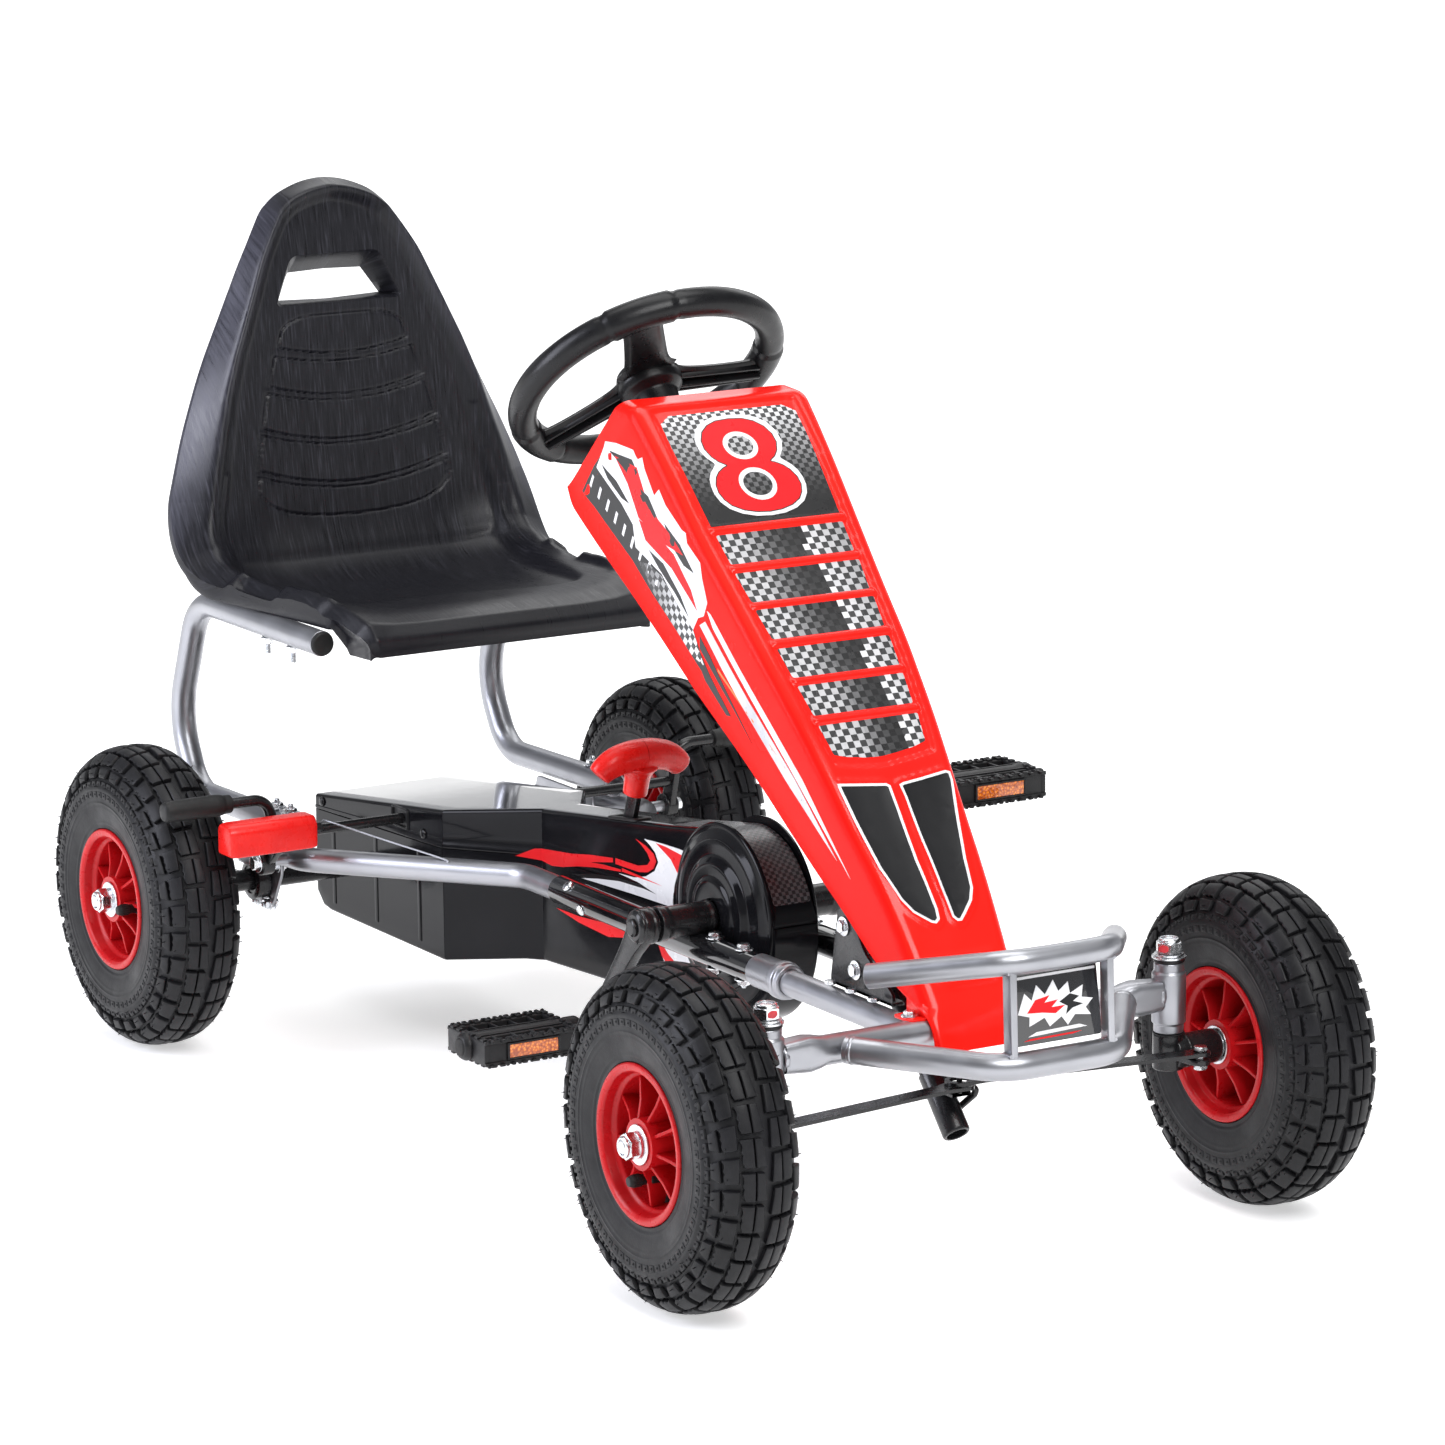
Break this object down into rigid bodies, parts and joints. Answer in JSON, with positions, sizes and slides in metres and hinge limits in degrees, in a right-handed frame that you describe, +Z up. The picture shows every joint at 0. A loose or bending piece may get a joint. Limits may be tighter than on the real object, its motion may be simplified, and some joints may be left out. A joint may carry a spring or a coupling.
{
  "type": "pedal go kart",
  "caption": "Child's pedal go kart with steered front wheels, chain-driven rear axle, bucket seat, nose fairing, bull bar and hand brake.",
  "frame": {"origin": "middle of the footprint on the floor, midway between the back of the seat and the front tyres", "axes": "+X forwards, +Y to the driver's left, +Z up"},
  "size_m": [1.1848, 0.6128, 0.708],
  "materials": {
    "tyre_rubber": "matt",
    "red_plastic": "semi-gloss moulded",
    "zinc": "bright zinc",
    "silver_paint": "satin silver powder coat",
    "black_paint": "gloss black powder coat",
    "black_plastic": "matt moulded",
    "gloss_black": "high gloss",
    "rubber_grip": "matt",
    "seat_plastic": "satin blow-moulded",
    "red_gloss": "high gloss"
  },
  "bodies": {
    "chassis": {"front_frame": "silver_paint", "front_bumper": "silver_paint", "number_plate": "gloss_black", "column_bracket": "black_paint", "fairing": "red_gloss", "chain_case_cover": "gloss_black", "chain_case_lower": "gloss_black", "chain": "black_paint", "frame_coupler_left": "silver_paint", "frame_coupler_right": "silver_paint", "chassis_tube_left": "black_paint", "chassis_tube_right": "black_paint", "rear_frame_tube_left": "silver_paint", "rear_frame_tube_right": "silver_paint", "seat_support_tube_left": "silver_paint", "seat_support_tube_right": "silver_paint", "rail_end_cap_left": "black_plastic", "rail_end_cap_right": "black_plastic", "axle_bracket_left": "silver_paint", "axle_bracket_right": "silver_paint", "axle_bearing_left": "black_paint", "axle_bearing_right": "black_paint", "crank_dome_left": "gloss_black", "crank_dome_right": "gloss_black"},
    "seat": {"seat_shell": "seat_plastic"},
    "steering": {"steering_wheel": "black_plastic", "steering_column": "black_paint"},
    "rear_axle_set": {"rear_axle": "black_paint", "rear_sprocket": "zinc", "rear_tyre_left": "tyre_rubber", "rear_tyre_right": "tyre_rubber", "rear_rim_left": "red_plastic", "rear_rim_right": "red_plastic", "rear_wheel_nut_left": "zinc", "rear_wheel_nut_right": "zinc"},
    "crank": {"crank_axle": "black_paint", "chainring": "zinc", "crank_arm_left": "black_paint", "crank_arm_right": "black_paint"},
    "pedal_l": {"pedal_left": "black_plastic"},
    "pedal_r": {"pedal_right": "black_plastic"},
    "brake": {"brake_bar": "black_paint", "brake_sleeve_left": "rubber_grip", "brake_sleeve_right": "rubber_grip", "brake_handle": "red_plastic"},
    "gear": {"gear_lever": "black_paint", "gear_knob": "red_plastic"},
    "knuckle_set_left": {"knuckle_left": "black_paint", "kingpin_left": "zinc", "front_wheel_nut_left": "zinc"},
    "tie_rod_body_left": {"tie_rod_left": "black_paint"},
    "front_wheel_left": {"front_tyre_left": "tyre_rubber", "front_rim_left": "red_plastic"},
    "knuckle_set_right": {"knuckle_right": "black_paint", "kingpin_right": "zinc", "front_wheel_nut_right": "zinc"},
    "tie_rod_body_right": {"tie_rod_right": "black_paint"},
    "front_wheel_right": {"front_tyre_right": "tyre_rubber", "front_rim_right": "red_plastic"}
  },
  "joints": [
    {"name": "steer", "type": "hinge", "parent": "chassis", "child": "steering", "pos_m": [-0.0196, 0, 0.6105], "axis": [-0.6587, 0, 0.7524], "range_deg": [-34, 34]},
    {"name": "rear_axle_spin", "type": "hinge", "parent": "chassis", "child": "rear_axle_set", "pos_m": [-0.4376, 0, 0.13], "axis": [0, 1, 0], "continuous": true},
    {"name": "crank_spin", "type": "hinge", "parent": "chassis", "child": "crank", "pos_m": [0.1304, 0, 0.198], "axis": [0, 1, 0], "continuous": true},
    {"name": "pedal_right_spin", "type": "hinge", "parent": "crank", "child": "pedal_r", "pos_m": [0.0514, -0.17, 0.099], "axis": [0, 1, 0], "continuous": true},
    {"name": "pedal_left_spin", "type": "hinge", "parent": "crank", "child": "pedal_l", "pos_m": [0.2094, 0.17, 0.297], "axis": [0, 1, 0], "continuous": true},
    {"name": "hand_brake", "type": "hinge", "parent": "chassis", "child": "brake", "pos_m": [-0.3346, 0, 0.171], "axis": [0, -1, 0], "range_deg": [0, 17]},
    {"name": "gear_shift", "type": "hinge", "parent": "chassis", "child": "gear", "pos_m": [-0.0456, -0.012, 0.212], "axis": [0, 1, 0], "range_deg": [-9, 9]},
    {"name": "seat_slide", "type": "slide", "parent": "chassis", "child": "seat", "axis": [1, 0, 0], "range_m": [-0.03, 0.03]},
    {"name": "kingpin_left_turn", "type": "hinge", "parent": "chassis", "child": "knuckle_set_left", "pos_m": [0.4594, 0.181, 0.17], "axis": [0, 0, 1], "range_deg": [-26.1, 26.1]},
    {"name": "tie_rod_left_turn", "type": "hinge", "parent": "knuckle_set_left", "child": "tie_rod_body_left", "pos_m": [0.4934, 0.187, 0.135], "axis": [0, 0, 1], "range_deg": [-26.1, 26.1]},
    {"name": "front_wheel_left_spin", "type": "hinge", "parent": "knuckle_set_left", "child": "front_wheel_left", "pos_m": [0.4624, 0.2584, 0.13], "axis": [0, 1, 0], "continuous": true},
    {"name": "kingpin_right_turn", "type": "hinge", "parent": "chassis", "child": "knuckle_set_right", "pos_m": [0.4594, -0.181, 0.17], "axis": [0, 0, 1], "range_deg": [-26.1, 26.1]},
    {"name": "tie_rod_right_turn", "type": "hinge", "parent": "knuckle_set_right", "child": "tie_rod_body_right", "pos_m": [0.4934, -0.187, 0.135], "axis": [0, 0, 1], "range_deg": [-26.1, 26.1]},
    {"name": "front_wheel_right_spin", "type": "hinge", "parent": "knuckle_set_right", "child": "front_wheel_right", "pos_m": [0.4624, -0.2584, 0.13], "axis": [0, 1, 0], "continuous": true}
  ],
  "couplings": [
    {"joint": "crank_spin", "follows": "rear_axle_spin", "ratio": 0.5},
    {"joint": "kingpin_left_turn", "follows": "steer", "ratio": 0.765},
    {"joint": "tie_rod_left_turn", "follows": "steer", "ratio": -0.765},
    {"joint": "kingpin_right_turn", "follows": "steer", "ratio": 0.765},
    {"joint": "tie_rod_right_turn", "follows": "steer", "ratio": -0.765}
  ]
}
